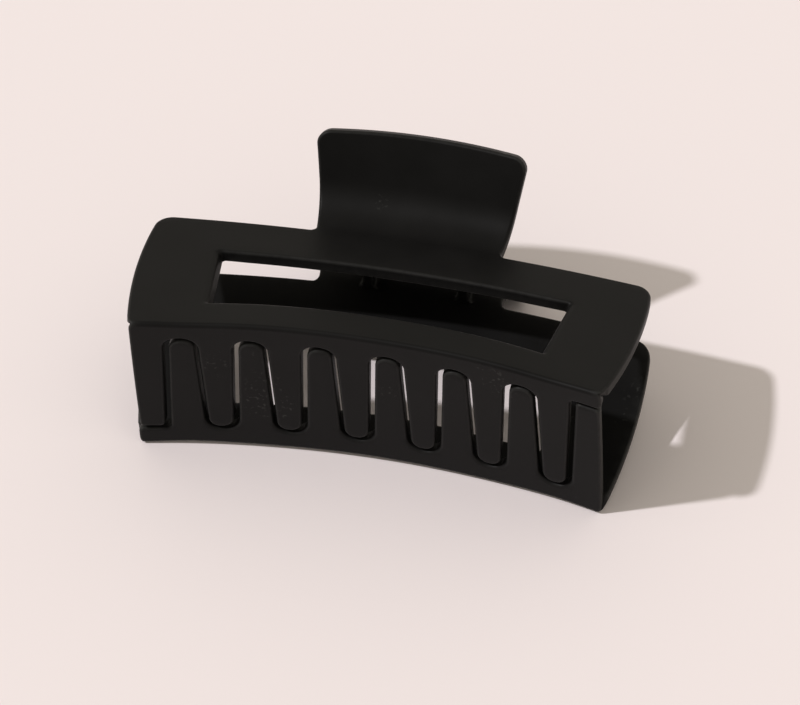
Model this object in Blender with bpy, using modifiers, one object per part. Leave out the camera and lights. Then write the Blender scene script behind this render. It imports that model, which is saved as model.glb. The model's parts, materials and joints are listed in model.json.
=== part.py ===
"""A long rectangular claw clip for hair, closed and lying on its lower jaw.

Frame: +X along the hinge, +Y from the teeth to the handles, +Z up. The origin is on the surface that the
clip lies on, under the middle of its box. Lengths are in metres.

The two jaws are one moulding: turned half a turn about the Y axis through the middle of the hinge, the
upper jaw is the lower one. So one jaw is modelled, in the clip's own frame: the hinge along X at
y = HINGE_Y, and z = 0 on the plane half way between the jaws.
"""

import math

import bmesh
import bpy
from mathutils import Matrix, Vector

MM = 0.001

# The wall that carries the teeth. It is bowed: its middle stands further back than its ends.
WALL_HALF = 50.9 * MM
WALL_BOW = 5.65 * MM
SKIN = 2.8 * MM
FOLD_RADIUS = 0.9 * MM

# The plate, from the fold at the wall's top down to the handle. Its ends are flat. Between them it is
# crowned: its front rises a little, so that the fold stays nearly level.
FOLD_HEIGHT = 20.22 * MM
PLATE_SLOPE = 0.252
PLATE_CROWN = 1.1 * MM
CROWN_HALF = 42.0 * MM
PLATE_BACK_HALF = 54.4 * MM
PLATE_END_BULGE = 1.8 * MM
PLATE_BACK_Y = 39.4 * MM
PLATE_BACK_BOW = 3.7 * MM
PLATE_CORNER = 3.3 * MM

# The window through the plate.
WINDOW_FRONT_Y = 11.2 * MM
WINDOW_FRONT_HALF = 36.8 * MM
WINDOW_FRONT_BOW = 3.33 * MM
WINDOW_BACK_Y = 29.7 * MM
WINDOW_BACK_HALF = 39.1 * MM
WINDOW_BACK_BOW = 2.03 * MM

# The thumb handle: an arc that carries on from the plate, then a straight lip.
HANDLE_BASE_HALF = 20.3 * MM
HANDLE_TIP_HALF = 23.5 * MM
HANDLE_RADIUS = 10.3 * MM
HANDLE_END_ANGLE = math.radians(55.5)
HANDLE_LIP = 11.8 * MM
HANDLE_TIP_BOW = 2.3 * MM
HANDLE_TIP_CORNER = 2.8 * MM
HANDLE_FILLET = 1.2 * MM

# The teeth.
TEETH = 7
TOOTH_PITCH = 14.67 * MM
TOOTH_GAP = 1.05 * MM
TOOTH_SHIFT = 0.1 * MM
TOOTH_TAPER = 0.04
TOOTH_REACH = 13.9 * MM
END_TOOTH_REACH = 14.3 * MM
END_TOOTH_TAPER = 0.4 * MM
END_TOOTH_CORNER = 1.0 * MM
END_SLOT_CORNER = 1.2 * MM
SLOT_CLEARANCE = 0.75 * MM
COMB_MARGIN = 0.5 * MM

# The hinge: two lugs on each jaw, a pin through them, and a torsion spring round the pin.
HINGE_Y = 46.0 * MM
LUG_THICKNESS = 2.4 * MM
INNER_LUG_X = 8.0 * MM
OUTER_LUG_X = 10.8 * MM
LUG_EYE_RADIUS = 3.2 * MM
LUG_ROOT_HALF = 4.6 * MM
LUG_ROOT_Z = 8.2 * MM
EYE_HOLE_RADIUS = 1.3 * MM
PIN_RADIUS = 1.0 * MM
PIN_HEAD_RADIUS = 1.9 * MM
PIN_HEAD_THICKNESS = 0.7 * MM
PIN_CLEARANCE = 0.3 * MM
WIRE_RADIUS = 0.65 * MM
COIL_RADIUS = 3.2 * MM
COIL_HALF = 6.3 * MM
COIL_TURNS = 9
SPRING_LEG = 11.5 * MM

# How finely curves are divided.
SHEET_COLUMNS = 22
PLATE_ROWS = 4
HANDLE_ROWS = 8
ARC_STEP = math.radians(22.5)
EDGE_STEPS = 12
END_SIDE_STEPS = 3
CORNER_STEPS = 6
COIL_STEPS = 12
ROUND_SIDES = 24
WELD = 0.001 * MM
FLAT_ANGLE = math.radians(0.2)
SHARP_ANGLE = math.radians(30)

# A fully rounded end's corners take this share of its half width, which leaves a short side between them.
ROUND_SHARE = 0.98
EYE_ROUND_SHARE = 0.99

# How far a cutter, or the sheet it trims, runs past the jaw.
BEYOND = 5.0 * MM

PLATE_ANGLE = math.atan(PLATE_SLOPE)


def clear_scene():
    for obj in list(bpy.data.objects):
        bpy.data.objects.remove(obj, do_unlink=True)


def new_collection(name, hidden=False):
    collection = bpy.data.collections.new(name)
    collection.hide_render = hidden
    bpy.context.scene.collection.children.link(collection)
    return collection


def new_material(name, colour, roughness, metallic):
    material = bpy.data.materials.new(name)
    material.use_nodes = True
    shader = material.node_tree.nodes["Principled BSDF"]
    shader.inputs["Base Color"].default_value = (*colour, 1.0)
    shader.inputs["Roughness"].default_value = roughness
    shader.inputs["Metallic"].default_value = metallic
    material.diffuse_color = (*colour, 1.0)
    return material


def new_object(name, mesh, collection):
    obj = bpy.data.objects.new(name, mesh)
    collection.objects.link(obj)
    return obj


def evaluated_mesh(obj):
    graph = bpy.context.evaluated_depsgraph_get()
    graph.update()
    return bpy.data.meshes.new_from_object(obj.evaluated_get(graph), depsgraph=graph)


def welded_mesh(obj, name):
    """The mesh of a curve object, with its loose caps joined on. The curve is removed."""
    mesh = evaluated_mesh(obj)
    curve = obj.data
    bpy.data.objects.remove(obj, do_unlink=True)
    bpy.data.curves.remove(curve)
    mesh.name = name
    shape = bmesh.new()
    shape.from_mesh(mesh)
    bmesh.ops.remove_doubles(shape, verts=shape.verts, dist=WELD)
    bmesh.ops.recalc_face_normals(shape, faces=shape.faces)
    shape.to_mesh(mesh)
    shape.free()
    return mesh


# Outlines, as lists of (across, up) points ------------------------------------------------------------


def bow(x, half, depth):
    """How far a bowed edge stands out from its ends, at x along it."""
    return depth * (1 - (x / half) ** 2)


def wall_y(x):
    return bow(x, WALL_HALF, WALL_BOW)


def plate_z(y):
    """The height of the plate's flat ends."""
    return FOLD_HEIGHT - PLATE_SLOPE * y


def crown(x, share):
    """How far the plate rises above its ends' plane, at a share of the way from the fold to the handle."""
    across = max(0, 1 - (x / CROWN_HALF) ** 4)
    return PLATE_CROWN * across**2 * (1 - share**2) ** 2


def plate_back_y(x):
    return PLATE_BACK_Y + bow(x, PLATE_BACK_HALF, PLATE_BACK_BOW)


def rounded(corners):
    """A closed outline through (point, radius) corners, with each radius above 0 turned into an arc."""
    outline = []
    for i, (point, radius) in enumerate(corners):
        before = (corners[i - 1][0] - point).normalized()
        after = (corners[(i + 1) % len(corners)][0] - point).normalized()
        if not radius:
            outline.append(point)
            continue
        half_angle = before.angle(after) / 2
        centre = point + (before + after).normalized() * radius / math.sin(half_angle)
        start = point + before * radius / math.tan(half_angle) - centre
        turn = before.angle_signed(after)
        sweep = math.copysign(math.pi - abs(turn), turn)
        steps = max(2, math.ceil(abs(sweep) / ARC_STEP))
        for step in range(steps + 1):
            outline.append(centre + Matrix.Rotation(sweep * step / steps, 2) @ start)
    return outline


def curve_points(ends, formula, steps=EDGE_STEPS):
    """(point, 0) corners of formula(x) for x between the two ends, without the ends themselves."""
    first, last = ends
    xs = (first + (last - first) * step / steps for step in range(1, steps))
    return [(Vector((x, formula(x))), 0) for x in xs]


def plate_end_points():
    """The plate's right-hand end, from the wall to just short of the back corner, bulging outwards."""
    corners = []
    for step in range(1, EDGE_STEPS - 1):
        share = step / EDGE_STEPS
        x = WALL_HALF + (PLATE_BACK_HALF - WALL_HALF) * share + 4 * PLATE_END_BULGE * share * (1 - share)
        corners.append((Vector((x, PLATE_BACK_Y * share)), 0))
    return corners


def mirrored(corners):
    """The corners of the right-hand half, then those of the left-hand half, as one closed run."""
    left = [(Vector((-point.x, point.y)), radius) for point, radius in reversed(corners)]
    return corners + left


def plan_outline():
    """The jaw from above: the plate's ends and back corners, and the sides of the handle."""
    back_y = plate_back_y(HANDLE_BASE_HALF)
    back_ends = PLATE_BACK_HALF - 2 * PLATE_CORNER, HANDLE_BASE_HALF + 2 * HANDLE_FILLET
    right = [
        (Vector((WALL_HALF, -BEYOND)), 0),
        (Vector((WALL_HALF, 0)), 0),
        *plate_end_points(),
        (Vector((PLATE_BACK_HALF, PLATE_BACK_Y)), PLATE_CORNER),
        *curve_points(back_ends, plate_back_y),
        (Vector((HANDLE_BASE_HALF, back_y)), HANDLE_FILLET),
        (Vector((HANDLE_TIP_HALF, back_y + HANDLE_RADIUS + HANDLE_LIP)), 0),
        (Vector((HANDLE_TIP_HALF, back_y + 2 * HANDLE_RADIUS + HANDLE_LIP)), 0),
    ]
    return rounded(mirrored(right))


def window_outline():
    def front(x):
        return WINDOW_FRONT_Y + bow(x, WINDOW_FRONT_HALF, WINDOW_FRONT_BOW)

    def back(x):
        return WINDOW_BACK_Y + bow(x, WINDOW_BACK_HALF, WINDOW_BACK_BOW)

    corners = [
        (Vector((-WINDOW_FRONT_HALF, WINDOW_FRONT_Y)), 0),
        *curve_points((-WINDOW_FRONT_HALF, WINDOW_FRONT_HALF), front),
        (Vector((WINDOW_FRONT_HALF, WINDOW_FRONT_Y)), 0),
        (Vector((WINDOW_BACK_HALF, WINDOW_BACK_Y)), 0),
        *curve_points((WINDOW_BACK_HALF, -WINDOW_BACK_HALF), back),
        (Vector((-WINDOW_BACK_HALF, WINDOW_BACK_Y)), 0),
    ]
    return rounded(corners)


def tooth_reach(x):
    """How far a tooth at x reaches past the plane half way between the jaws."""
    return TOOTH_REACH + (END_TOOTH_REACH - TOOTH_REACH) * (x / WALL_HALF) ** 2


def tooth_half_width(z):
    return TOOTH_PITCH / 4 - TOOTH_GAP / 2 + TOOTH_TAPER * z


def end_tooth_side():
    """The first tooth's left side, which is the wall's end: it curves in towards the tip."""
    corners = []
    top = tooth_reach(WALL_HALF) + SLOT_CLEARANCE
    foot = -top / 5
    for step in range(END_SIDE_STEPS + 1):
        z = top + (foot - top) * step / END_SIDE_STEPS
        x = END_TOOTH_TAPER * ((FOLD_HEIGHT - z) / (FOLD_HEIGHT + END_TOOTH_REACH)) ** 2 - WALL_HALF
        corners.append((Vector((x, z)), 0))
    return corners


def tooth_corners(tooth, centre):
    """One tooth's tip, from its left side to its right side."""
    tip_z = -tooth_reach(centre)
    tip_half = tooth_half_width(tip_z)
    if tooth == 0:
        left, radius = END_TOOTH_TAPER - WALL_HALF, END_TOOTH_CORNER
    else:
        left, radius = centre - tip_half, ROUND_SHARE * tip_half
    return [
        (Vector((left, tip_z)), radius),
        (Vector((centre + tip_half, tip_z)), radius),
    ]


def slot_corners(tooth, centre):
    """The top of the slot on a tooth's right. The last slot runs out through the wall's end."""
    top = tooth_reach(centre) + SLOT_CLEARANCE
    half = TOOTH_PITCH / 2 - tooth_half_width(top)
    if tooth == TEETH - 1:
        return [(Vector((centre - half, top)), END_SLOT_CORNER), (Vector((WALL_HALF + BEYOND, top)), 0)]
    return [
        (Vector((centre - half, top)), ROUND_SHARE * half),
        (Vector((centre + half, top)), ROUND_SHARE * half),
    ]


def comb_outline():
    """Everything below the teeth and between them, as cut out of the wall, seen from the front."""
    top = tooth_reach(WALL_HALF) + SLOT_CLEARANCE
    corners = [
        (Vector((WALL_HALF + BEYOND, -TOOTH_REACH - BEYOND)), 0),
        (Vector((-WALL_HALF - BEYOND, -TOOTH_REACH - BEYOND)), 0),
        (Vector((-WALL_HALF - BEYOND, top)), 0),
        *end_tooth_side(),
    ]
    for tooth in range(TEETH):
        centre = (tooth - TEETH // 2) * TOOTH_PITCH - TOOTH_PITCH / 4 - TOOTH_SHIFT
        corners += tooth_corners(tooth, centre)
        corners += slot_corners(tooth, centre + TOOTH_PITCH / 2)
    return rounded(corners)


def tip_corner_outline():
    """The sliver between the handle's square top right corner and its round one, seen from the front."""
    tip_z = handle_point(0, 1)[1]
    corner = Vector((HANDLE_TIP_HALF, tip_z))
    out = Vector((BEYOND, 0))
    up = Vector((0, BEYOND))
    centre = corner - Vector((HANDLE_TIP_CORNER, HANDLE_TIP_CORNER))
    arc = [
        centre + Matrix.Rotation(math.pi / 2 * step / CORNER_STEPS, 2) @ Vector((HANDLE_TIP_CORNER, 0))
        for step in range(CORNER_STEPS + 1)
    ]
    return [arc[0] + out, *arc, arc[-1] + up, corner + out + up]


def lug_outline():
    """A lug from the side: a round eye about the hinge, widening up to a root inside the jaw's skin."""
    corners = [
        (Vector((HINGE_Y - LUG_EYE_RADIUS, -LUG_EYE_RADIUS)), EYE_ROUND_SHARE * LUG_EYE_RADIUS),
        (Vector((HINGE_Y + LUG_EYE_RADIUS, -LUG_EYE_RADIUS)), EYE_ROUND_SHARE * LUG_EYE_RADIUS),
        (Vector((HINGE_Y + LUG_ROOT_HALF, LUG_ROOT_Z)), 0),
        (Vector((HINGE_Y - LUG_ROOT_HALF, LUG_ROOT_Z)), 0),
    ]
    return rounded(corners)


# Solids -----------------------------------------------------------------------------------------------

SEEN_FROM_ABOVE = Matrix.Identity(4)
SEEN_FROM_FRONT = Matrix(((1, 0, 0, 0), (0, 0, -1, 0), (0, 1, 0, 0), (0, 0, 0, 1)))
SEEN_FROM_SIDE = Matrix(((0, 0, 1, 0), (1, 0, 0, 0), (0, 1, 0, 0), (0, 0, 0, 1)))


def prism(name, outline, depth, view, middle, collection):
    """A straight solid with this outline, its depth centred on the point middle."""
    curve = bpy.data.curves.new(name, "CURVE")
    curve.dimensions = "2D"
    curve.fill_mode = "BOTH"
    curve.extrude = depth / 2
    spline = curve.splines.new("POLY")
    spline.points.add(len(outline) - 1)
    for spline_point, point in zip(spline.points, outline):
        spline_point.co = (point.x, point.y, 0, 1)
    spline.use_cyclic_u = True
    mesh = welded_mesh(new_object(name + "_curve", curve, collection), name)
    mesh.transform(Matrix.Translation(middle) @ view)
    obj = new_object(name, mesh, collection)
    obj.display_type = "WIRE"
    obj.hide_render = True
    return obj


def cylinder(name, radius, ends, collection):
    """A cylinder along the hinge, between two x."""
    shape = bmesh.new()
    middle = Matrix.Translation(((ends[0] + ends[1]) / 2, HINGE_Y, 0))
    bmesh.ops.create_cone(
        shape,
        cap_ends=True,
        segments=ROUND_SIDES,
        radius1=radius,
        radius2=radius,
        depth=ends[1] - ends[0],
        matrix=middle @ Matrix.Rotation(math.pi / 2, 4, "Y"),
    )
    mesh = bpy.data.meshes.new(name)
    shape.to_mesh(mesh)
    shape.free()
    return new_object(name, mesh, collection)


def handle_point(x, share):
    """(y, z) of the handle's upper surface at x, at a share of the way from the plate to the tip."""
    arc_length = HANDLE_RADIUS * (HANDLE_END_ANGLE + PLATE_ANGLE)
    along = share * (arc_length + HANDLE_LIP)
    angle = min(along / HANDLE_RADIUS - PLATE_ANGLE, HANDLE_END_ANGLE)
    lip = max(along - arc_length, 0)
    start_y = plate_back_y(x)
    y = start_y + HANDLE_RADIUS * (math.sin(angle) + math.sin(PLATE_ANGLE)) + lip * math.cos(angle)
    z = HANDLE_RADIUS * (math.cos(PLATE_ANGLE) - math.cos(angle)) + lip * math.sin(angle)
    tip_bow = HANDLE_TIP_BOW * (x / HANDLE_TIP_HALF) ** 2 - (plate_back_y(0) - start_y)
    return y - tip_bow * share**2, plate_z(start_y) + z


def row_point(row, x):
    """(y, z) of the jaw's outer surface in a row of the sheet: wall foot, fold, plate, handle."""
    if row == 0:
        return wall_y(x), -TOOTH_REACH - BEYOND / 2
    if row <= PLATE_ROWS:
        share = (row - 1) / PLATE_ROWS
        y = wall_y(x) + share * (plate_back_y(x) - wall_y(x))
        return y, plate_z(y) + crown(x, share)
    arc_share = (row - 1 - PLATE_ROWS) / HANDLE_ROWS
    arc_length = HANDLE_RADIUS * (HANDLE_END_ANGLE + PLATE_ANGLE)
    if arc_share > 1:
        return handle_point(x, 1)
    return handle_point(x, arc_share * arc_length / (arc_length + HANDLE_LIP))


def jaw_sheet(collection):
    """The jaw's outer surface, wider than the jaw, as one grid folded at its second row."""
    rows = PLATE_ROWS + HANDLE_ROWS + 2
    half = WALL_HALF + BEYOND
    shape = bmesh.new()
    bmesh.ops.create_grid(shape, x_segments=SHEET_COLUMNS, y_segments=rows, size=1)
    for vertex in shape.verts:
        row = round((vertex.co.y + 1) / 2 * rows)
        x = vertex.co.x * half
        vertex.co = (x, *row_point(row, x))
    bmesh.ops.recalc_face_normals(shape, faces=shape.faces)
    fold_weight = shape.edges.layers.float.new("bevel_weight_edge")
    for edge in shape.edges:
        if all(abs(v.co.y - wall_y(v.co.x)) < WELD and v.co.z > 0 for v in edge.verts):
            edge[fold_weight] = 1.0
    mesh = bpy.data.meshes.new("jaw_sheet")
    shape.to_mesh(mesh)
    shape.free()
    return new_object("jaw_sheet", mesh, collection)


def add_boolean(obj, operation, other):
    modifier = obj.modifiers.new(other.name, "BOOLEAN")
    modifier.operation = operation
    modifier.object = other
    modifier.solver = "EXACT"


def jaw_mesh(cutters):
    """One finished jaw, with its hinge axis through the mesh's origin."""
    jaw = jaw_sheet(cutters)
    skin = jaw.modifiers.new("skin", "SOLIDIFY")
    skin.thickness = SKIN
    skin.offset = -1
    skin.use_even_offset = True
    fold = jaw.modifiers.new("fold", "BEVEL")
    fold.limit_method = "WEIGHT"
    fold.width = FOLD_RADIUS
    fold.segments = 3

    height = 4 * FOLD_HEIGHT
    plan = prism("plan", plan_outline(), height, SEEN_FROM_ABOVE, (0, 0, 0), cutters)
    add_boolean(jaw, "INTERSECT", plan)
    window = prism("window", window_outline(), FOLD_HEIGHT, SEEN_FROM_ABOVE, (0, 0, FOLD_HEIGHT), cutters)
    add_boolean(jaw, "DIFFERENCE", window)
    comb_depth = WALL_BOW + SKIN + COMB_MARGIN + BEYOND
    comb_middle = (0, comb_depth / 2 - BEYOND, 0)
    comb = prism("comb", comb_outline(), comb_depth, SEEN_FROM_FRONT, comb_middle, cutters)
    add_boolean(jaw, "DIFFERENCE", comb)
    tip_middle = (0, PLATE_BACK_Y + 2 * HANDLE_RADIUS, 0)
    for side in (-1, 1):
        outline = [Vector((side * point.x, point.y)) for point in tip_corner_outline()]
        corner = prism(f"tip_corner_{side}", outline, 2 * HANDLE_RADIUS, SEEN_FROM_FRONT, tip_middle, cutters)
        add_boolean(jaw, "DIFFERENCE", corner)
    for name, side, near_x in (("outer_lug", -1, OUTER_LUG_X), ("inner_lug", 1, INNER_LUG_X)):
        lug_middle = (side * (near_x + LUG_THICKNESS / 2), 0, 0)
        lug = prism(name, lug_outline(), LUG_THICKNESS, SEEN_FROM_SIDE, lug_middle, cutters)
        add_boolean(jaw, "UNION", lug)
    reach = OUTER_LUG_X + LUG_THICKNESS + BEYOND
    eye = cylinder("eye_hole", EYE_HOLE_RADIUS, (-reach, reach), cutters)
    eye.display_type = "WIRE"
    eye.hide_render = True
    add_boolean(jaw, "DIFFERENCE", eye)

    mesh = evaluated_mesh(jaw)
    mesh.name = "jaw"
    jaw.hide_render = True
    jaw.display_type = "WIRE"
    shape = bmesh.new()
    shape.from_mesh(mesh)
    bmesh.ops.remove_doubles(shape, verts=shape.verts, dist=2 * WELD)
    bmesh.ops.dissolve_limit(shape, angle_limit=FLAT_ANGLE, verts=shape.verts, edges=shape.edges)
    shape.to_mesh(mesh)
    shape.free()
    mesh.transform(Matrix.Translation((0, -HINGE_Y, 0)))
    return mesh


def pin_mesh(cutters):
    """The hinge pin, with a flat head on each end outside the outer lugs."""
    shank_half = OUTER_LUG_X + LUG_THICKNESS + PIN_CLEARANCE + PIN_HEAD_THICKNESS / 2
    pin = cylinder("pin_shank", PIN_RADIUS, (-shank_half, shank_half), cutters)
    pin.hide_render = True
    for side in (-1, 1):
        inner = side * (OUTER_LUG_X + LUG_THICKNESS + PIN_CLEARANCE)
        ends = sorted((inner, inner + side * PIN_HEAD_THICKNESS))
        head = cylinder(f"pin_head_{side}", PIN_HEAD_RADIUS, ends, cutters)
        head.hide_render = True
        add_boolean(pin, "UNION", head)
    mesh = evaluated_mesh(pin)
    mesh.name = "hinge_pin"
    mesh.transform(Matrix.Translation((0, -HINGE_Y, 0)))
    return mesh


def spring_leg_direction():
    """The angle above +Y at which a leg leaves the coil and just passes under the handle's curve."""
    centre_y = plate_back_y(0) + HANDLE_RADIUS * math.sin(PLATE_ANGLE)
    centre_z = plate_z(plate_back_y(0)) + HANDLE_RADIUS * math.cos(PLATE_ANGLE)
    distance = math.hypot(centre_y - HINGE_Y, centre_z)
    lean = math.atan2(HINGE_Y - centre_y, centre_z)
    clear_radius = HANDLE_RADIUS + SKIN + WIRE_RADIUS + PIN_CLEARANCE
    return math.pi / 2 + lean - math.asin((COIL_RADIUS + clear_radius) / distance)


def spring_mesh(cutters):
    """A coil round the pin with one leg under each handle."""
    leg_angle = spring_leg_direction()
    first = -leg_angle - math.pi / 2
    last = leg_angle + math.pi / 2 + 2 * math.pi * COIL_TURNS
    steps = COIL_STEPS * COIL_TURNS
    points = []
    for step in range(steps + 1):
        angle = first + (last - first) * step / steps
        x = COIL_HALF * (2 * step / steps - 1)
        points.append(Vector((x, COIL_RADIUS * math.cos(angle), COIL_RADIUS * math.sin(angle))))
    lower_leg = points[0] + SPRING_LEG * Vector((0, math.cos(leg_angle), -math.sin(leg_angle)))
    upper_leg = points[-1] + SPRING_LEG * Vector((0, math.cos(leg_angle), math.sin(leg_angle)))
    points = [lower_leg, *points, upper_leg]
    curve = bpy.data.curves.new("torsion_spring", "CURVE")
    curve.dimensions = "3D"
    curve.bevel_depth = WIRE_RADIUS
    curve.bevel_resolution = 2
    curve.use_fill_caps = True
    spline = curve.splines.new("POLY")
    spline.points.add(len(points) - 1)
    for spline_point, point in zip(spline.points, points):
        spline_point.co = (*point, 1)
    return welded_mesh(new_object("spring_curve", curve, cutters), "torsion_spring")


# Assembly ---------------------------------------------------------------------------------------------


def place(name, mesh, material, collection, parent, turned=False):
    """One piece, its origin on the hinge axis, turned half a turn about Y if it is the lower one."""
    mesh.shade_smooth()
    mesh.set_sharp_from_angle(angle=SHARP_ANGLE)
    obj = new_object(name, mesh, collection)
    obj.data.materials.clear()
    obj.data.materials.append(material)
    obj.parent = parent
    obj.location = (0, HINGE_Y, 0)
    obj.rotation_euler = (0, math.pi if turned else 0, 0)
    return obj


def world_points(objects):
    bpy.context.view_layer.update()
    return [obj.matrix_world @ vertex.co for obj in objects for vertex in obj.data.vertices]


def lay_on_ground(clip, pieces, lower_jaw):
    """Tips the clip until the lower jaw's fold and its handle touch the ground, then centres its box."""
    points = world_points([lower_jaw])
    fold = min((p for p in points if p.y < HINGE_Y / 2), key=lambda p: p.z)
    tip = min((p for p in points if p.y > HINGE_Y), key=lambda p: p.z)
    clip.rotation_euler = (math.atan2(fold.z - tip.z, tip.y - fold.y), 0, 0)
    points = world_points(pieces)
    low = Vector([min(p[axis] for p in points) for axis in range(3)])
    high = Vector([max(p[axis] for p in points) for axis in range(3)])
    clip.location -= Vector(((low.x + high.x) / 2, (low.y + high.y) / 2, low.z))


def main():
    clear_scene()
    parts = new_collection("claw_clip")
    cutters = new_collection("cutters", hidden=True)
    black_plastic = new_material("black_plastic", (0.018, 0.018, 0.019), 0.5, 0.0)
    spring_steel = new_material("spring_steel", (0.52, 0.52, 0.53), 0.3, 1.0)
    pin_steel = new_material("pin_steel", (0.6, 0.6, 0.61), 0.25, 1.0)

    clip = new_object("clip_frame", None, parts)
    jaw = jaw_mesh(cutters)
    upper_jaw = place("upper_jaw", jaw, black_plastic, parts, clip)
    lower_jaw = place("lower_jaw", jaw, black_plastic, parts, clip, turned=True)
    pin = place("hinge_pin", pin_mesh(cutters), pin_steel, parts, clip)
    spring = place("torsion_spring", spring_mesh(cutters), spring_steel, parts, clip)
    lay_on_ground(clip, [upper_jaw, lower_jaw, pin, spring], lower_jaw)


main()
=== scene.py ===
"""The looks of the long rectangular claw clip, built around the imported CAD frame.

Each jaw is a moulded skin: a flat sheet of (across, along) coordinates in millimetres, folded and curved by
jaw_surface(). Across is x along the hinge. Along is 0 on the fold, negative down the toothed wall, and
positive up the plate and the thumb handle. rounded_slab() turns outlines on that sheet into a closed body
with rounded rims.
"""

import json
import math

import bmesh
import bpy
import numpy as np
from mathutils import Matrix, Vector
from mathutils.geometry import delaunay_2d_cdt


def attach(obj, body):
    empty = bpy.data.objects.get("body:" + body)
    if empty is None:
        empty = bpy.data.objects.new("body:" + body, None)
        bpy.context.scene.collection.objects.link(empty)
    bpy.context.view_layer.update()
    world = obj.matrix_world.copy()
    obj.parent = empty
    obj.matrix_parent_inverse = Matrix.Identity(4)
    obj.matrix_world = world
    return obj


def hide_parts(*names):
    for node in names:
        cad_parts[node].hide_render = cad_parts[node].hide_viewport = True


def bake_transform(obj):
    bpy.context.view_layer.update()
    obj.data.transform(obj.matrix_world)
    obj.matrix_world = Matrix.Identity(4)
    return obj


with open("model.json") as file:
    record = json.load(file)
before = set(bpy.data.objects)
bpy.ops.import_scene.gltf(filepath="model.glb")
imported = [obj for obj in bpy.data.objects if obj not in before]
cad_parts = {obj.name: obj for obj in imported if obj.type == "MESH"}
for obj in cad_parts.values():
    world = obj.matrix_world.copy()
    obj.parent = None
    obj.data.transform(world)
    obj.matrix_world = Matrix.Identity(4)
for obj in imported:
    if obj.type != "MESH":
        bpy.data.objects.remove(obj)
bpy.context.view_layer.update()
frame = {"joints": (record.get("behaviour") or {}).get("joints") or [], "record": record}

MM = 0.001

# Sizes in millimetres. Those that the CAD has too are the same there, except two: here EYE_HOLE_RADIUS fits
# the pin more closely, and LUG_ROOT_Z reaches further into the handle.
WALL_HALF = 50.9
WALL_BOW = 5.65
SKIN = 2.8
FOLD_RADIUS = 0.9
INNER_FOLD_RADIUS = 0.4
FOLD_HEIGHT = 20.22
PLATE_CROWN = 1.1
CROWN_HALF = 42.0
FOLD_END_CUT = 0.3
FOLD_END_REACH = 2.2
PLATE_BACK_HALF = 54.4
PLATE_END_BULGE = 1.8
PLATE_BACK_Y = 39.4
PLATE_BACK_BOW = 3.7
PLATE_CORNER = 3.3
WINDOW_FRONT_Y = 11.2
WINDOW_FRONT_HALF = 36.8
WINDOW_FRONT_BOW = 3.33
WINDOW_BACK_Y = 29.7
WINDOW_BACK_HALF = 39.1
WINDOW_BACK_BOW = 2.03
WINDOW_CORNER = 0.6
WINDOW_END_DRAFT = 1.4
DRAFT_REACH = 4.0
HANDLE_BASE_HALF = 20.3
HANDLE_TIP_HALF = 23.5
HANDLE_RADIUS = 10.3
HANDLE_END_ANGLE = math.radians(55.5)
HANDLE_LIP = 11.8
HANDLE_TIP_BOW = 2.3
HANDLE_TIP_CORNER = 2.8
HANDLE_FILLET = 1.2
TEETH = 7
TOOTH_PITCH = 14.67
TOOTH_GAP = 1.05
TOOTH_SHIFT = 0.1
TOOTH_TAPER = 0.04
TOOTH_REACH = 13.9
END_TOOTH_REACH = 14.3
END_TOOTH_TAPER = 0.4
END_TOOTH_CORNER = 1.0
END_SLOT_CORNER = 1.2
SLOT_CLEARANCE = 0.75
END_CORNER = 1.0
HINGE_Y = 46.0
LUG_THICKNESS = 2.4
INNER_LUG_X = 8.0
OUTER_LUG_X = 10.8
LUG_EYE_RADIUS = 3.2
LUG_ROOT_HALF = 4.6
LUG_ROOT_Z = 8.7
LUG_ROOT_CORNER = 1.3
LUG_FILLET = 1.0
LUG_FILLET_TOP_Z = 6.5
EYE_HOLE_RADIUS = 1.15
PIN_RADIUS = 1.0
PIN_HEAD_RADIUS = 1.9
PIN_HEAD_THICKNESS = 0.7
PIN_HEAD_CHAMFER = 0.1
DOME_STEPS = 8
PIN_SIDES = 48
PIN_CLEARANCE = 0.3
WIRE_RADIUS = 0.65
COIL_RADIUS = 3.2
COIL_HALF = 6.3
COIL_TURNS = 9
COIL_STEPS = 40
SPRING_LEG = 11.5
LEG_STEPS = 6

# How much of a tooth's or slot's half width its end's corners are rounded by.
ROUND_SHARE = 0.98

# Rounded rims: (radius, steps) outside and inside.
OUTER_RIM = (0.75, 5)
INNER_RIM = (0.45, 3)

# An outline's longest sides on the fold, on the rest of the sheet, and round its corners.
FOLD_SPACING = 0.28
SHEET_SPACING = 1.0
CORNER_SPACING = 0.35
WINDOW_CORNER_SPACING = 0.2

# How far an arched side stays clear of a corner beside it, as a share of the corner's radius.
CORNER_CLEARANCE = 1.6

# Points inside the skin's faces, which follow its curves: (half width, step across, step along).
WALL_FILLING = (50, 2.5, 3.0)
WALL_FILLING_DEPTH = 32
PLATE_FILLING = (54, 4.0, 4.0)
PLATE_FILLING_REACH = 40
HANDLE_FILLING = (23, 2.0, 0.8)
FOLD_FILLING = (50.4, 1.4)
FOLD_FILLING_ROWS = 9

# The least distance from those points to the edge, and twice the least area of a triangle, which leaves out
# the flat ones that the triangulation adds outside a straight edge.
FILLING_GAP = 0.45
SLIVER = 1e-4

# Edges between faces that turn more than this stay sharp.
SHARP_ANGLE = math.radians(50)
PIN_SHARP_ANGLE = math.radians(40)

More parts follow.
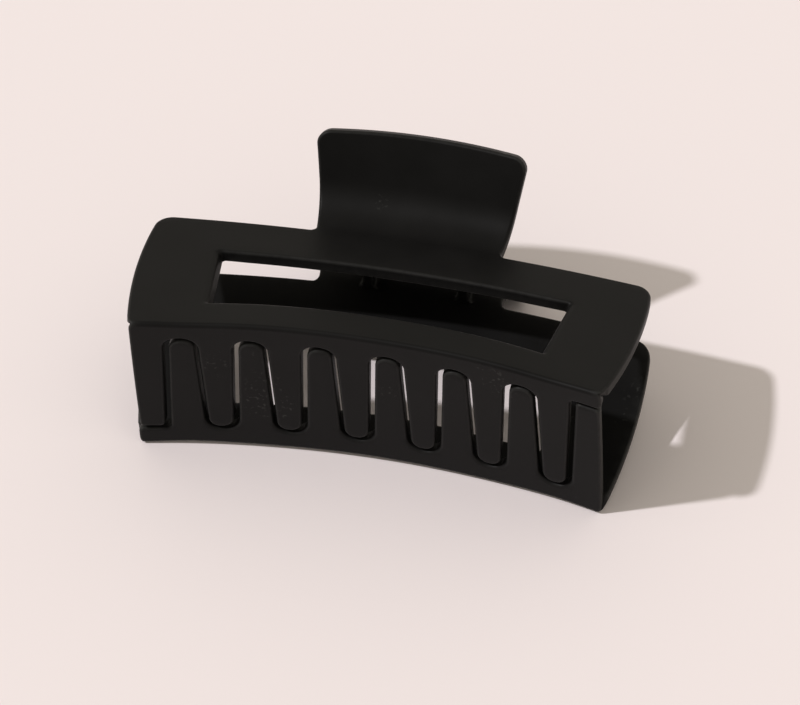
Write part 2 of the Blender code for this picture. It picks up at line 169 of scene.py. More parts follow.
# The clip's own frame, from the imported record: the hinge's place, and the two plates' outward normals.
JOINT = frame["joints"][0]
MOUNTS = {mount["name"]: mount for mount in frame["record"]["mounts"]}
UPPER_LEAN = math.asin(MOUNTS["upper_plate_face"]["axis"][1])
LOWER_LEAN = math.asin(MOUNTS["lower_plate_face"]["axis"][1])
PLATE_ANGLE = (UPPER_LEAN + LOWER_LEAN) / 2
CLIP_TILT = (LOWER_LEAN - UPPER_LEAN) / 2
HINGE = Vector(JOINT["pos_m"])
UPPER_FRAME = Matrix.Translation(HINGE) @ Matrix.Rotation(CLIP_TILT, 4, "X")
LOWER_FRAME = UPPER_FRAME @ Matrix.Rotation(math.pi, 4, "Y")

FOLD_TURN = math.pi / 2 + PLATE_ANGLE
HANDLE_ARC = HANDLE_RADIUS * (HANDLE_END_ANGLE + PLATE_ANGLE)
HANDLE_LENGTH = HANDLE_ARC + HANDLE_LIP


# The folded sheet --------------------------------------------------------------------------------------


def bow(x, half, depth):
    return depth * (1 - (x / half) ** 2)


def wall_y(x):
    return bow(x, WALL_HALF, WALL_BOW)


def crown(x, share):
    """How far the plate rises above its ends' plane, at a share of the way from the fold to the handle."""
    across = np.maximum(0, 1 - (x / CROWN_HALF) ** 4)
    return PLATE_CROWN * across**2 * (1 - share**2) ** 2


def fold_z(x):
    return FOLD_HEIGHT - math.tan(PLATE_ANGLE) * wall_y(x) + crown(x, 0)


def plate_back_y(x):
    return PLATE_BACK_Y + bow(x, PLATE_BACK_HALF, PLATE_BACK_BOW)


def plate_along(x, y):
    """Sheet coordinate of a point of the plate seen from above."""
    return (y - wall_y(x)) / math.cos(PLATE_ANGLE)


def plate_length(x):
    return plate_along(x, plate_back_y(x))


def folded(along, radius):
    """(y, z) on a corner that turns from straight up to down the plate, with the sharp corner at (0, 0)."""
    reach = radius * math.tan(FOLD_TURN / 2)
    angle = FOLD_TURN * np.clip((along + reach) / (2 * reach), 0, 1)
    below = np.minimum(along + reach, 0)
    above = np.maximum(along - reach, 0)
    y = radius - radius * np.cos(angle) + above * math.cos(PLATE_ANGLE)
    z = radius * np.sin(angle) - reach + below - above * math.sin(PLATE_ANGLE)
    return y, z


def inner_along(along):
    """Where the skin's inside is along its own, shorter, folded line."""
    lost = SKIN * math.tan(FOLD_TURN / 2)
    near = lost + 1.05 * INNER_FOLD_RADIUS * math.tan(FOLD_TURN / 2)
    squeezed = along * (near - lost) / near
    return np.where(np.abs(along) < near, squeezed, along - np.sign(along) * lost)


def jaw_surface(across, along, depth):
    """Points of the skin at a depth under its outer face, in the jaw's frame, in millimetres."""
    length = plate_length(across)
    on_plate = np.minimum(along, length)
    outer_y, outer_z = folded(on_plate, FOLD_RADIUS)
    inner_y, inner_z = folded(inner_along(on_plate), INNER_FOLD_RADIUS)
    inner_y = inner_y + SKIN
    inner_z = inner_z - SKIN * math.tan(FOLD_TURN / 2)
    share = depth / SKIN
    y = wall_y(across) + outer_y + (inner_y - outer_y) * share
    z = fold_z(across) + outer_z + (inner_z - outer_z) * share
    z = z + crown(across, np.clip(along / length, 0, 1)) - crown(across, 0)

    up_handle = np.maximum(along - length, 0)
    angle = np.minimum(up_handle / HANDLE_RADIUS - PLATE_ANGLE, HANDLE_END_ANGLE)
    lip = np.maximum(up_handle - HANDLE_ARC, 0)
    y = y + (HANDLE_RADIUS + depth) * (np.sin(angle) + math.sin(PLATE_ANGLE)) + lip * np.cos(angle)
    z = z + (HANDLE_RADIUS + depth) * (math.cos(PLATE_ANGLE) - np.cos(angle)) + lip * np.sin(angle)
    bow_change = HANDLE_TIP_BOW * (across / HANDLE_TIP_HALF) ** 2 - (plate_back_y(0) - plate_back_y(across))
    y = y - bow_change * (up_handle / HANDLE_LENGTH) ** 2
    return np.stack([across, y - HINGE_Y, z], axis=-1)


# Outlines ----------------------------------------------------------------------------------------------


def rounded(corners, step=CORNER_SPACING):
    """A closed outline through (point, radius) corners, with each radius above 0 turned into an arc."""
    outline = []
    for i, (point, radius) in enumerate(corners):
        if not radius:
            outline.append(point)
            continue
        before = (corners[i - 1][0] - point).normalized()
        after = (corners[(i + 1) % len(corners)][0] - point).normalized()
        half_angle = before.angle(after) / 2
        centre = point + (before + after).normalized() * radius / math.sin(half_angle)
        start = point + before * radius / math.tan(half_angle) - centre
        turn = before.angle_signed(after)
        sweep = math.copysign(math.pi - abs(turn), turn)
        steps = max(4, math.ceil(abs(sweep) * radius / step))
        for k in range(steps + 1):
            outline.append(centre + Matrix.Rotation(sweep * k / steps, 2) @ start)
    return outline


def divided(outline, spacing):
    """The same closed outline, with its long sides divided. spacing gives the longest side at a point."""
    points = []
    for i, point in enumerate(outline):
        following = outline[(i + 1) % len(outline)]
        middle = (point + following) / 2
        steps = max(1, math.ceil((following - point).length / spacing(middle)))
        points += [point.lerp(following, k / steps) for k in range(steps)]
    return np.array(points)


def arched(first, last, formula, steps):
    """(point, 0) corners of formula(x), for x strictly between first and last."""
    xs = (first + (last - first) * k / steps for k in range(1, steps))
    return [(Vector((x, formula(x))), 0) for x in xs]


def tooth_half_width(z):
    return TOOTH_PITCH / 4 - TOOTH_GAP / 2 + TOOTH_TAPER * z


def tooth_reach(x):
    """How far a tooth at x reaches past the plane half way between the jaws."""
    return TOOTH_REACH + (END_TOOTH_REACH - TOOTH_REACH) * (x / WALL_HALF) ** 2


def on_wall(x, z, radius=0):
    return Vector((x, float(z - fold_z(x)))), radius


def end_tooth_side():
    """The first tooth's left side, which is the wall's end: it curves in towards the tip."""
    corners = []
    for z in np.linspace(FOLD_HEIGHT - 3, -END_TOOTH_REACH + 3, 12):
        share = (FOLD_HEIGHT - z) / (FOLD_HEIGHT + END_TOOTH_REACH)
        corners.append(on_wall(END_TOOTH_TAPER * share**2 - WALL_HALF, z))
    return corners


def comb_corners():
    """The teeth and the slots between them, from the left end of the wall to its right end."""
    corners = end_tooth_side()
    for tooth in range(TEETH):
        centre = (tooth - TEETH // 2) * TOOTH_PITCH - TOOTH_PITCH / 4 - TOOTH_SHIFT
        tip_z = -tooth_reach(centre)
        half = tooth_half_width(tip_z)
        left, radius = centre - half, ROUND_SHARE * half
        if tooth == 0:
            left, radius = END_TOOTH_TAPER - WALL_HALF, END_TOOTH_CORNER
        corners.append(on_wall(left, tip_z, radius))
        corners.append(on_wall(centre + half, tip_z, radius))

        slot = centre + TOOTH_PITCH / 2
        top = tooth_reach(slot) + SLOT_CLEARANCE
        half = TOOTH_PITCH / 2 - tooth_half_width(top)
        if tooth == TEETH - 1:
            corners.append(on_wall(slot - half, top, END_SLOT_CORNER))
            corners.append(on_wall(WALL_HALF, top, END_CORNER))
        else:
            corners.append(on_wall(slot - half, top, ROUND_SHARE * half))
            corners.append(on_wall(slot + half, top, ROUND_SHARE * half))
    return corners


def fold_end_cut(along):
    """How far the end of the fold is cut back, to round its corner."""
    return FOLD_END_CUT * max(0, 1 - abs(along) / FOLD_END_REACH) ** 2


def plate_end(share):
    """A point of the plate's right-hand end, from the fold at share 0 to the back corner at 1."""
    bulge = 4 * PLATE_END_BULGE * share * (1 - share)
    x = WALL_HALF + (PLATE_BACK_HALF - WALL_HALF) * share + bulge
    along = plate_along(x, PLATE_BACK_Y * share)
    return Vector((x - fold_end_cut(along), along))


def jaw_outline():
    """The whole jaw on the flat sheet, anticlockwise from its lower left tooth."""
    clear_of_corner = PLATE_BACK_HALF - CORNER_CLEARANCE * PLATE_CORNER
    clear_of_fillet = HANDLE_BASE_HALF + CORNER_CLEARANCE * HANDLE_FILLET
    clear_of_tip_corner = HANDLE_TIP_HALF - CORNER_CLEARANCE * HANDLE_TIP_CORNER
    wall_end = (-FOLD_END_REACH * share for share in (1, 0.75, 0.5, 0.25))
    right = [(Vector((WALL_HALF - fold_end_cut(along), along)), 0) for along in wall_end]
    right += [(plate_end(share), 0) for share in (0, 0.015, 0.03, 0.045, *np.linspace(0.06, 0.86, 22))]
    right.append((plate_end(1), PLATE_CORNER))
    right += arched(clear_of_corner, clear_of_fillet, plate_length, 20)
    right.append((Vector((HANDLE_BASE_HALF, plate_length(HANDLE_BASE_HALF))), HANDLE_FILLET))
    tip = plate_length(HANDLE_TIP_HALF) + HANDLE_LENGTH
    right.append((Vector((HANDLE_TIP_HALF, tip)), HANDLE_TIP_CORNER))
    top = arched(clear_of_tip_corner, -clear_of_tip_corner, lambda x: plate_length(x) + HANDLE_LENGTH, 24)
    left = [(Vector((-point.x, point.y)), radius) for point, radius in reversed(right)]
    return divided(rounded(comb_corners() + right + top + left), sheet_spacing)


def sheet_spacing(point):
    return FOLD_SPACING if abs(point.y) < 1.5 * FOLD_RADIUS else SHEET_SPACING


def window_outline():
    """The window on the flat sheet, clockwise."""

    def front(x):
        return plate_along(x, WINDOW_FRONT_Y + bow(x, WINDOW_FRONT_HALF, WINDOW_FRONT_BOW))

    def back(x):
        return plate_along(x, WINDOW_BACK_Y + bow(x, WINDOW_BACK_HALF, WINDOW_BACK_BOW))

    corners = [
        (Vector((-WINDOW_FRONT_HALF, front(WINDOW_FRONT_HALF))), WINDOW_CORNER),
        (Vector((-WINDOW_BACK_HALF, back(WINDOW_BACK_HALF))), WINDOW_CORNER),
        *arched(-WINDOW_BACK_HALF, WINDOW_BACK_HALF, back, 40),
        (Vector((WINDOW_BACK_HALF, back(WINDOW_BACK_HALF))), WINDOW_CORNER),
        (Vector((WINDOW_FRONT_HALF, front(WINDOW_FRONT_HALF))), WINDOW_CORNER),
        *arched(WINDOW_FRONT_HALF, -WINDOW_FRONT_HALF, front, 40),
    ]
    return divided(rounded(corners, WINDOW_CORNER_SPACING), sheet_spacing)


def window_draft(loop):
    """How far each point of the window's rim moves across by the skin's inner face: its two ends slope in."""
    share = np.clip((np.abs(loop[:, 0]) - WINDOW_FRONT_HALF) / DRAFT_REACH + 1, 0, 1)
    return np.stack([-np.sign(loop[:, 0]) * WINDOW_END_DRAFT * share, 0 * share], axis=1)


def spread(half_width, step):
    """Evenly spaced places across the sheet."""
    return np.arange(-half_width, half_width + step / 10, step)


def jaw_filling():
    """Points spread over the sheet: close together on the fold and up the handle, far apart on the flats."""
    fold_reach = FOLD_RADIUS * math.tan(FOLD_TURN / 2)
    rows = []
    half_width, step, step_along = WALL_FILLING
    xs = spread(half_width, step)
    for along in np.arange(-WALL_FILLING_DEPTH, -fold_reach - 1, step_along):
        rows.append((xs, np.full_like(xs, along)))
    xs = spread(*FOLD_FILLING)
    for along in np.linspace(-fold_reach, fold_reach, FOLD_FILLING_ROWS):
        rows.append((xs, np.full_like(xs, along)))
    half_width, step, step_along = PLATE_FILLING
    xs = spread(half_width, step)
    for along in np.arange(fold_reach + 2, PLATE_FILLING_REACH, step_along):
        rows.append((xs, np.minimum(along, plate_length(xs) - 2)))
    half_width, step, step_along = HANDLE_FILLING
    xs = spread(half_width, step)
    for up_handle in np.arange(0, HANDLE_LENGTH, step_along):
        rows.append((xs, plate_length(xs) + up_handle))
    return np.concatenate([np.stack(row, axis=1) for row in rows])


# Closed bodies with rounded rims -----------------------------------------------------------------------


def mitres(loop):
    """For each point of a closed loop, the step that moves its sides 1 to the left."""
    ahead = np.roll(loop, -1, axis=0) - loop
    ahead /= np.linalg.norm(ahead, axis=1)[:, None]
    left_after = np.stack([-ahead[:, 1], ahead[:, 0]], axis=1)
    left_before = np.roll(left_after, 1, axis=0)
    return (left_before + left_after) / (1 + (left_before * left_after).sum(1))[:, None]


def inside(points, loop):
    """Which points are inside a closed loop, by counting the sides that a ray to the right crosses."""
    x, y = points[:, 0][:, None], points[:, 1][:, None]
    following = np.roll(loop, -1, axis=0)
    spans = (loop[:, 1] > y) != (following[:, 1] > y)
    rise = np.where(following[:, 1] == loop[:, 1], 1e-12, following[:, 1] - loop[:, 1])
    crossing = loop[:, 0] + (y - loop[:, 1]) / rise * (following[:, 0] - loop[:, 0])
    return (spans & (x < crossing)).sum(1) % 2 == 1


def rim_profile(thickness):
    """(inset, depth) pairs round the skin's edge, from its outer face to its inner face."""
    radius, steps = OUTER_RIM
    angles = [math.pi / 2 * k / steps for k in range(steps + 1)]
    outer = [(radius * (1 - math.sin(a)), radius * (1 - math.cos(a))) for a in angles]
    radius, steps = INNER_RIM
    angles = [math.pi / 2 * k / steps for k in range(steps, -1, -1)]
    inner = [(radius * (1 - math.sin(a)), thickness - radius * (1 - math.cos(a))) for a in angles]
    return outer + inner


def inset_loop(loop, draft, inset, depth_share):
    """A loop moved into the material by inset, and by a share of its draft that grows fastest at the top."""
    return loop + mitres(loop) * inset + draft * math.sqrt(depth_share)


def regions(triangles, sides):
    """Lists of the triangles that lie together, with no side of a loop between them."""
    fences = {frozenset(side) for side in sides}
    on_edge = {}
    for i, (a, b, c) in enumerate(triangles.tolist()):
        for edge in (frozenset((a, b)), frozenset((b, c)), frozenset((c, a))):
            on_edge.setdefault(edge, []).append(i)
    neighbours = [[] for _ in triangles]
    for edge, pair in on_edge.items():
        if edge not in fences and len(pair) == 2:
            neighbours[pair[0]].append(pair[1])
            neighbours[pair[1]].append(pair[0])
    found = []
    waiting = set(range(len(triangles)))
    while waiting:
        region = [waiting.pop()]
        for i in region:
            new = [other for other in neighbours[i] if other in waiting]
            waiting -= set(new)
            region += new
        found.append(region)
    return found


def face_triangles(loops, filling):
    """(points, triangles) that fill the sheet between the loops. The loops' own points come first."""
    edge = np.concatenate(loops)
    keep = inside(filling, loops[0])
    for hole in loops[1:]:
        keep &= ~inside(filling, hole)
    filling = filling[keep]
    nearest = np.array([np.hypot(*(edge - point).T).min() for point in filling])
    points = np.concatenate([edge, filling[nearest > FILLING_GAP]])
    sides = []
    first = 0
    for loop in loops:
        sides += [(first + i, first + (i + 1) % len(loop)) for i in range(len(loop))]
        first += len(loop)
    result = delaunay_2d_cdt([Vector(point) for point in points], sides, [], 0, 1e-7)
    triangles = np.array([[result[3][v][0] for v in face] for face in result[2]])
    first_side = points[triangles[:, 1]] - points[triangles[:, 0]]
    last_side = points[triangles[:, 2]] - points[triangles[:, 0]]
    doubled_areas = first_side[:, 0] * last_side[:, 1] - first_side[:, 1] * last_side[:, 0]
    wanted = []
    for region in regions(triangles, sides):
        largest = region[np.argmax(doubled_areas[region])]
        centre = points[triangles[largest]].mean(0, keepdims=True)
        in_hole = any(inside(centre, hole) for hole in loops[1:])
        if doubled_areas[largest] > SLIVER and inside(centre, loops[0]) and not in_hole:
            wanted += region
    return points, triangles[sorted(wanted)]


def rounded_slab(loops, drafts, filling, thickness, surface):
    """A closed bmesh. loops keep the material on their left: the outline first, then any holes."""
    profile = rim_profile(thickness)
    shape = bmesh.new()
    rims = []
    for loop, draft in zip(loops, drafts):
        rings = []
        for inset, depth in profile:
            sheet = inset_loop(loop, draft, inset, depth / thickness)
            rings.append([shape.verts.new(point) for point in surface(*sheet.T, depth)])
        for near, far in zip(rings, rings[1:]):
            for i in range(len(loop)):
                shape.faces.new((far[i - 1], far[i], near[i], near[i - 1]))
        rims.append(rings)
    for ring, (inset, depth) in ((0, profile[0]), (-1, profile[-1])):
        moved = [inset_loop(loop, draft, inset, depth / thickness) for loop, draft in zip(loops, drafts)]
        points, triangles = face_triangles(moved, filling)
        verts = [vertex for rings in rims for vertex in rings[ring]]
        verts += [shape.verts.new(point) for point in surface(*points[len(verts):].T, depth)]
        for triangle in triangles[:, :: 1 if ring == 0 else -1]:
            shape.faces.new([verts[i] for i in triangle])
    return shape


def circle(radius, sides, clockwise=False):
    angles = np.linspace(0, 2 * math.pi, sides, endpoint=False) * (-1 if clockwise else 1)
    return np.stack([radius * np.cos(angles), radius * np.sin(angles)], axis=1)


# Pieces ------------------------------------------------------------------------------------------------


def new_piece(name, shape, place):
    """An object from a bmesh in millimetres, put in the row frame."""
    mesh = bpy.data.meshes.new(name)
    shape.to_mesh(mesh)
    shape.free()
    mesh.transform(place @ Matrix.Scale(MM, 4))
    mesh.shade_smooth()
    obj = bpy.data.objects.new(name, mesh)
    bpy.context.scene.collection.objects.link(obj)
    return obj


def applied(obj):
    """Makes the object's modifiers part of its mesh."""
    graph = bpy.context.evaluated_depsgraph_get()
    graph.update()
    mesh = bpy.data.meshes.new_from_object(obj.evaluated_get(graph), depsgraph=graph)
    obj.modifiers.clear()
    obj.data = mesh


def lug_shape(middle):
    """One hinge lug, its eye round the hinge, widened by a fillet where it meets the handle."""
    corner = 0.995 * LUG_EYE_RADIUS
    outline = rounded(
        [
            (Vector((-LUG_EYE_RADIUS, -LUG_EYE_RADIUS)), corner),
            (Vector((LUG_EYE_RADIUS, -LUG_EYE_RADIUS)), corner),
            (Vector((LUG_ROOT_HALF, LUG_ROOT_Z)), LUG_ROOT_CORNER),
            (Vector((-LUG_ROOT_HALF, LUG_ROOT_Z)), LUG_ROOT_CORNER),
        ]
    )
    outline = divided(outline, lambda point: 0.15 if point.y > LUG_FILLET_TOP_Z - LUG_FILLET else 0.6)
    hole = circle(EYE_HOLE_RADIUS, 40, clockwise=True)

    def lug_surface(y, z, depth):
        rise = np.clip((z - LUG_FILLET_TOP_Z) / LUG_FILLET + 1, 0, 1)
        fillet = LUG_FILLET * (1 - np.sqrt(1 - rise**2))
        x = (0.5 - depth / LUG_THICKNESS) * (LUG_THICKNESS + 2 * fillet)
        return np.stack([middle + x, y, z], axis=-1)

    ys, zs = np.meshgrid(np.arange(-4.2, 4.3, 0.7), np.arange(5.5, LUG_ROOT_Z, 0.15))
    filling = np.stack([ys.ravel(), zs.ravel()], axis=1)
    return rounded_slab([outline, hole], [0, 0], filling, LUG_THICKNESS, lug_surface)


def jaw_piece(name, place, material):
    """One whole jaw: the skin, with its two lugs joined on."""
    window = window_outline()
    skin = rounded_slab([jaw_outline(), window], [0, window_draft(window)], jaw_filling(), SKIN, jaw_surface)
    jaw = new_piece(name, skin, place)
    lugs = []
    for middle in (-OUTER_LUG_X - LUG_THICKNESS / 2, INNER_LUG_X + LUG_THICKNESS / 2):
        lug = new_piece(f"{name}_lug_{len(lugs)}", lug_shape(middle), place)
        joined = jaw.modifiers.new(lug.name, "BOOLEAN")
        joined.operation = "UNION"
        joined.object = lug
        lugs.append(lug)
    applied(jaw)
    for lug in lugs:
        bpy.data.objects.remove(lug, do_unlink=True)
    jaw.data.set_sharp_from_angle(angle=SHARP_ANGLE)
    even = jaw.modifiers.new("even shading", "WEIGHTED_NORMAL")
    even.keep_sharp = True
    jaw.data.materials.clear()
    jaw.data.materials.append(material)
    return jaw


def turned_shape(profile, sides):
    """A closed bmesh turned about the X axis from (x, radius) points that start and end on the axis."""
    shape = bmesh.new()
    first_pole, last_pole = (shape.verts.new((x, 0, 0)) for x, _ in (profile[0], profile[-1]))
    rings = [[shape.verts.new((x, *point)) for point in circle(radius, sides)] for x, radius in profile[1:-1]]
    for k in range(sides):
        shape.faces.new((first_pole, rings[0][k], rings[0][k - 1]))
        for near, far in zip(rings, rings[1:]):
            shape.faces.new((near[k - 1], near[k], far[k], far[k - 1]))
        shape.faces.new((last_pole, rings[-1][k - 1], rings[-1][k]))
    return shape


def pin_piece(material):
    """The pin, with a low domed head riveted over at each end."""
    inner = OUTER_LUG_X + LUG_THICKNESS + PIN_CLEARANCE
    dome = inner + PIN_HEAD_CHAMFER
    head = [(inner, PIN_RADIUS), (inner, PIN_HEAD_RADIUS - PIN_HEAD_CHAMFER), (dome, PIN_HEAD_RADIUS)]
    for k in range(1, DOME_STEPS + 1):
        angle = math.pi / 2 * k / DOME_STEPS
        rise = (PIN_HEAD_THICKNESS - PIN_HEAD_CHAMFER) * math.sin(angle)
        head.append((dome + rise, PIN_HEAD_RADIUS * math.cos(angle)))
    profile = [(-x, radius) for x, radius in reversed(head)] + head
    pin = new_piece("rivet_pin", turned_shape(profile, PIN_SIDES), UPPER_FRAME)
    pin.data.set_sharp_from_angle(angle=PIN_SHARP_ANGLE)
    pin.data.materials.append(material)
    return pin


def spring_leg_angle():
    """The angle above +Y at which a leg leaves the coil and just passes under the handle's curve."""
    centre_y = plate_back_y(0) + HANDLE_RADIUS * math.sin(PLATE_ANGLE) - HINGE_Y
    plate_back_z = FOLD_HEIGHT - math.tan(PLATE_ANGLE) * plate_back_y(0)
    centre_z = plate_back_z + HANDLE_RADIUS * math.cos(PLATE_ANGLE)
    clear_radius = HANDLE_RADIUS + SKIN + WIRE_RADIUS + PIN_CLEARANCE
    lean = math.atan2(-centre_y, centre_z)
    return math.pi / 2 + lean - math.asin((COIL_RADIUS + clear_radius) / math.hypot(centre_y, centre_z))


def spring_piece(material):
    """The close-wound torsion spring, one leg under each handle, bent as one wire."""
    leg_angle = spring_leg_angle()
    first = -leg_angle - math.pi / 2
    last = leg_angle + math.pi / 2 + 2 * math.pi * COIL_TURNS
    steps = COIL_STEPS * COIL_TURNS
    points = []
    for k in range(steps + 1):
        angle = first + (last - first) * k / steps
        x = COIL_HALF * (2 * k / steps - 1)
        points.append(Vector((x, COIL_RADIUS * math.cos(angle), COIL_RADIUS * math.sin(angle))))
    for end, side in ((0, -1), (-1, 1)):
        along = SPRING_LEG * Vector((0, math.cos(leg_angle), side * math.sin(leg_angle)))
        leg = [points[end] + along * k / LEG_STEPS for k in range(1, LEG_STEPS + 1)]
        points = leg[::-1] + points if side < 0 else points + leg
    curve = bpy.data.curves.new("spring_wire", "CURVE")
    curve.dimensions = "3D"
    curve.bevel_depth = WIRE_RADIUS
    curve.bevel_resolution = 4
    curve.use_fill_caps = True
    spline = curve.splines.new("POLY")
    spline.points.add(len(points) - 1)
    for spline_point, point in zip(spline.points, points):
        spline_point.co = (*point, 1)
    wire = bpy.data.objects.new("spring_wire", curve)
    bpy.context.scene.collection.objects.link(wire)
    graph = bpy.context.evaluated_depsgraph_get()
    graph.update()
    shape = bmesh.new()
    shape.from_mesh(bpy.data.meshes.new_from_object(wire.evaluated_get(graph), depsgraph=graph))
    bpy.data.objects.remove(wire, do_unlink=True)
    bmesh.ops.remove_doubles(shape, verts=shape.verts, dist=1e-4)
    bmesh.ops.recalc_face_normals(shape, faces=shape.faces)
    spring = new_piece("spring_coil", shape, UPPER_FRAME)
    spring.data.set_sharp_from_angle(angle=SHARP_ANGLE)
    spring.data.materials.append(material)
    return spring


# Materials ---------------------------------------------------------------------------------------------

PLASTIC_TONES = ((0.0050, 0.0049, 0.0049), (0.0070, 0.0068, 0.0068))
# The rims' paler colour: partly edge wear, partly a painted highlight that stands in for the reflections
# along the rims.
WORN_AND_SHEEN_PLASTIC = (0.03, 0.03, 0.029)
SCUFFED_PLASTIC = (0.026, 0.026, 0.025)
PLASTIC_SPECULAR = 0.095
WIRE_COLOUR, WIRE_ROUGHNESS = (0.52, 0.52, 0.53), 0.3
PIN_COLOUR, PIN_ROUGHNESS = (0.6, 0.6, 0.61), 0.24
GRAIN_HEIGHT = 0.00002  # in metres, of every bump


def new_material(name):
    material = bpy.data.materials.new(name)
    material.use_nodes = True
    tree = material.node_tree
    return material, tree, tree.nodes["Principled BSDF"]


def noise(tree, coordinates, scale, detail=2.0, roughness=0.5):
    node = tree.nodes.new("ShaderNodeTexNoise")
    node.inputs["Scale"].default_value = scale
    node.inputs["Detail"].default_value = detail
    node.inputs["Roughness"].default_value = roughness
    tree.links.new(coordinates, node.inputs["Vector"])
    return node.outputs["Fac"]


def remap(tree, value, low, high, new_low, new_high):
    node = tree.nodes.new("ShaderNodeMapRange")
    node.inputs["From Min"].default_value = low
    node.inputs["From Max"].default_value = high
    node.inputs["To Min"].default_value = new_low
    node.inputs["To Max"].default_value = new_high
    tree.links.new(value, node.inputs["Value"])
    return node.outputs["Result"]


def calculated(tree, operation, first, second):
    node = tree.nodes.new("ShaderNodeMath")
    node.operation = operation
    for value, socket in zip((first, second), node.inputs):
        if isinstance(value, float):
            socket.default_value = value
        else:
            tree.links.new(value, socket)
    return node.outputs["Value"]


def mixed_colour(tree, share, first, second):
    node = tree.nodes.new("ShaderNodeMix")
    node.data_type = "RGBA"
    for colour, socket in ((first, node.inputs["A"]), (second, node.inputs["B"])):
        if isinstance(colour, tuple):
            socket.default_value = (*colour, 1)
        else:
            tree.links.new(colour, socket)
    tree.links.new(share, node.inputs["Factor"])
    return node.outputs["Result"]


def bumped(tree, shader, height, strength):
    node = tree.nodes.new("ShaderNodeBump")
    node.inputs["Strength"].default_value = strength
    node.inputs["Distance"].default_value = GRAIN_HEIGHT
    tree.links.new(height, node.inputs["Height"])
    tree.links.new(node.outputs["Normal"], shader.inputs["Normal"])


def soft_touch_plastic():
    """Matt black plastic: faintly cloudy, finely grained, paler on its rims as wear and as a painted
    highlight, scuffed in places.
    """
    material, tree, shader = new_material("soft_touch_black")
    where = tree.nodes.new("ShaderNodeTexCoord").outputs["Object"]
    cloudy = remap(tree, noise(tree, where, 90, 3), 0.3, 0.7, 0, 1)
    rubbed_and_sheen_noise = noise(tree, where, 700, 4, 0.6)
    grain = noise(tree, where, 9000, 2)
    pointiness = tree.nodes.new("ShaderNodeNewGeometry").outputs["Pointiness"]
    # Painted highlight: the sharpest rims are made paler, partly as wear and partly to stand in for the sheen
    # they reflect.
    rim_wear_and_sheen = remap(tree, pointiness, 0.515, 0.545, 0, 1)
    wear_and_sheen = calculated(tree, "MULTIPLY", rim_wear_and_sheen, remap(tree, rubbed_and_sheen_noise, 0.3, 0.6, 0.4, 1))
    fresh = mixed_colour(tree, cloudy, *PLASTIC_TONES)
    worn_and_sheen = mixed_colour(tree, wear_and_sheen, fresh, WORN_AND_SHEEN_PLASTIC)
    places = remap(tree, noise(tree, where, 60, 1), 0.66, 0.72, 0, 1)
    specks = remap(tree, noise(tree, where, 1100, 2), 0.60, 0.68, 0, 1)
    scuffs = calculated(tree, "MULTIPLY", places, specks)
    tree.links.new(mixed_colour(tree, scuffs, worn_and_sheen, SCUFFED_PLASTIC), shader.inputs["Base Color"])
    tree.links.new(remap(tree, cloudy, 0, 1, 0.42, 0.48), shader.inputs["Roughness"])
    shader.inputs["Specular IOR Level"].default_value = PLASTIC_SPECULAR
    bumped(tree, shader, grain, 0.35)
    return material


def steel(name, colour, roughness):
    material, tree, shader = new_material(name)
    where = tree.nodes.new("ShaderNodeTexCoord").outputs["Object"]
    drawn = noise(tree, where, 2500, 3)
    shade = mixed_colour(tree, drawn, tuple(0.8 * c for c in colour), colour)
    tree.links.new(shade, shader.inputs["Base Color"])
    dull = remap(tree, drawn, 0.3, 0.7, roughness - 0.06, roughness + 0.08)
    tree.links.new(dull, shader.inputs["Roughness"])
    shader.inputs["Metallic"].default_value = 1.0
    bumped(tree, shader, drawn, 0.3)
    return material


# Stage, lights and camera ------------------------------------------------------------------------------

FLOOR_COLOUR = (0.82, 0.76, 0.775)
SKY_COLOUR = (0.572, 0.533, 0.462)
SKY_LEAN = 0.4
SUN_COLOUR = (1.0, 0.975, 0.985)
SUN_STRENGTH = 2.2
SUN_SOFTNESS = math.radians(2.5)
SUN_SHADOW = Vector((37, 17, -47))  # the way the light travels

# The camera, in the clip's own frame: turned and tipped angles in degrees, lengths in millimetres.
CAMERA_TURN = -14.604
CAMERA_TIP = 49.988
CAMERA_ROLL = -2.696
CAMERA_AIM = Vector((3.229, 19.3 - HINGE_Y, 0.529))
CAMERA_DISTANCE = 1133.7
CAMERA_LENS = 238.1


def add_floor():
    bpy.ops.mesh.primitive_plane_add(size=4, location=(0, 0, -0.0001))
    floor = bpy.context.object
    floor.name = "floor"
    material, tree, shader = new_material("floor")
    shader.inputs["Base Color"].default_value = (*FLOOR_COLOUR, 1)
    shader.inputs["Roughness"].default_value = 0.6
    shader.inputs["Specular IOR Level"].default_value = 0.2
    floor.data.materials.append(material)


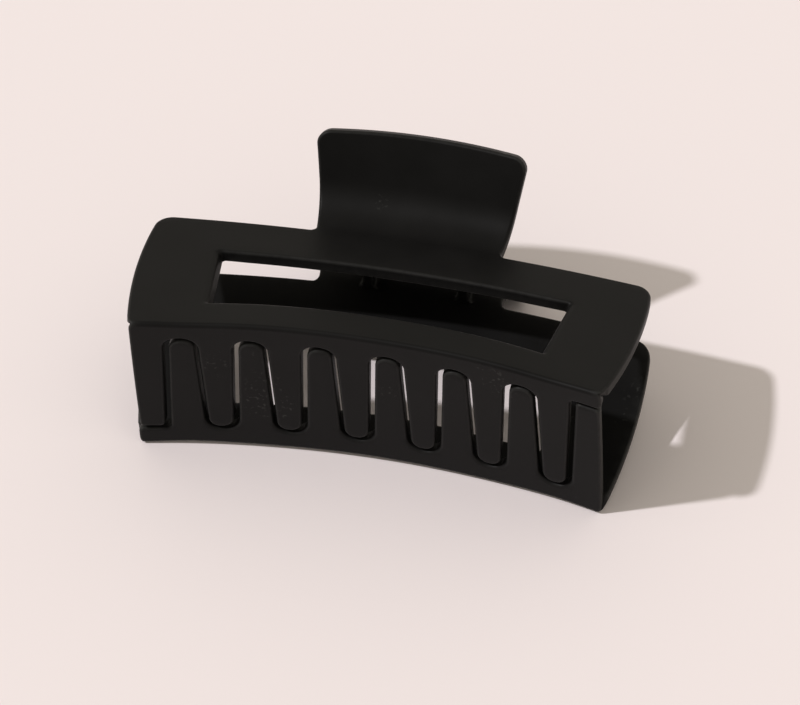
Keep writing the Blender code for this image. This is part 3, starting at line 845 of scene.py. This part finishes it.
def add_lights():
    """A soft sky, brighter low behind the clip and dimmer low in front of it, and one key light."""
    world = bpy.data.worlds.new("studio")
    world.use_nodes = True
    tree = world.node_tree
    direction = tree.nodes.new("ShaderNodeSeparateXYZ")
    tree.links.new(tree.nodes.new("ShaderNodeTexCoord").outputs["Generated"], direction.inputs["Vector"])
    low = calculated(tree, "SUBTRACT", 1.0, direction.outputs["Z"])
    low_behind = calculated(tree, "MULTIPLY", direction.outputs["Y"], low)
    brightness = remap(tree, low_behind, -1 / SKY_LEAN, 1 / SKY_LEAN, 0, 2)
    sky = tree.nodes["Background"]
    sky.inputs["Color"].default_value = (*SKY_COLOUR, 1)
    tree.links.new(brightness, sky.inputs["Strength"])
    bpy.context.scene.world = world
    sun = bpy.data.lights.new("key", "SUN")
    sun.energy = SUN_STRENGTH
    sun.color = SUN_COLOUR
    sun.angle = SUN_SOFTNESS
    key = bpy.data.objects.new("key", sun)
    key.rotation_euler = SUN_SHADOW.to_track_quat("-Z", "Y").to_euler()
    bpy.context.scene.collection.objects.link(key)


def add_camera():
    turn = math.radians(CAMERA_TURN)
    tip = math.radians(CAMERA_TIP)
    roll = math.radians(CAMERA_ROLL)
    look = Vector((math.sin(turn) * math.cos(tip), math.cos(turn) * math.cos(tip), -math.sin(tip)))
    right = look.cross(Vector((0, 0, 1))).normalized()
    up = right.cross(look)
    rolled_right = right * math.cos(roll) + up * math.sin(roll)
    rolled_up = up * math.cos(roll) - right * math.sin(roll)
    place = Matrix((rolled_right, rolled_up, -look)).transposed().to_4x4()
    place.translation = (CAMERA_AIM - look * CAMERA_DISTANCE) * MM
    data = bpy.data.cameras.new("camera")
    data.lens = CAMERA_LENS
    data.clip_end = 10
    camera = bpy.data.objects.new("camera", data)
    camera.matrix_world = UPPER_FRAME @ place
    bpy.context.scene.collection.objects.link(camera)
    bpy.context.scene.camera = camera


# Everything together -----------------------------------------------------------------------------------


def main():
    plastic = soft_touch_plastic()
    wire_steel = steel("drawn_wire_steel", WIRE_COLOUR, WIRE_ROUGHNESS)
    pin_steel = steel("bright_pin_steel", PIN_COLOUR, PIN_ROUGHNESS)

    for body, place in (("upper_jaw", UPPER_FRAME), ("lower_jaw", LOWER_FRAME)):
        jaw = jaw_piece(body + "_moulding", place, plastic)
        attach(jaw, body)
        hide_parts(body)

    pin = pin_piece(pin_steel)
    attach(pin, "lower_jaw")
    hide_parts("hinge_pin")

    spring = spring_piece(wire_steel)
    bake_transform(spring)
    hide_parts("torsion_spring")

    bpy.context.scene.view_settings.view_transform = "Standard"
    add_floor()
    add_lights()
    add_camera()


main()
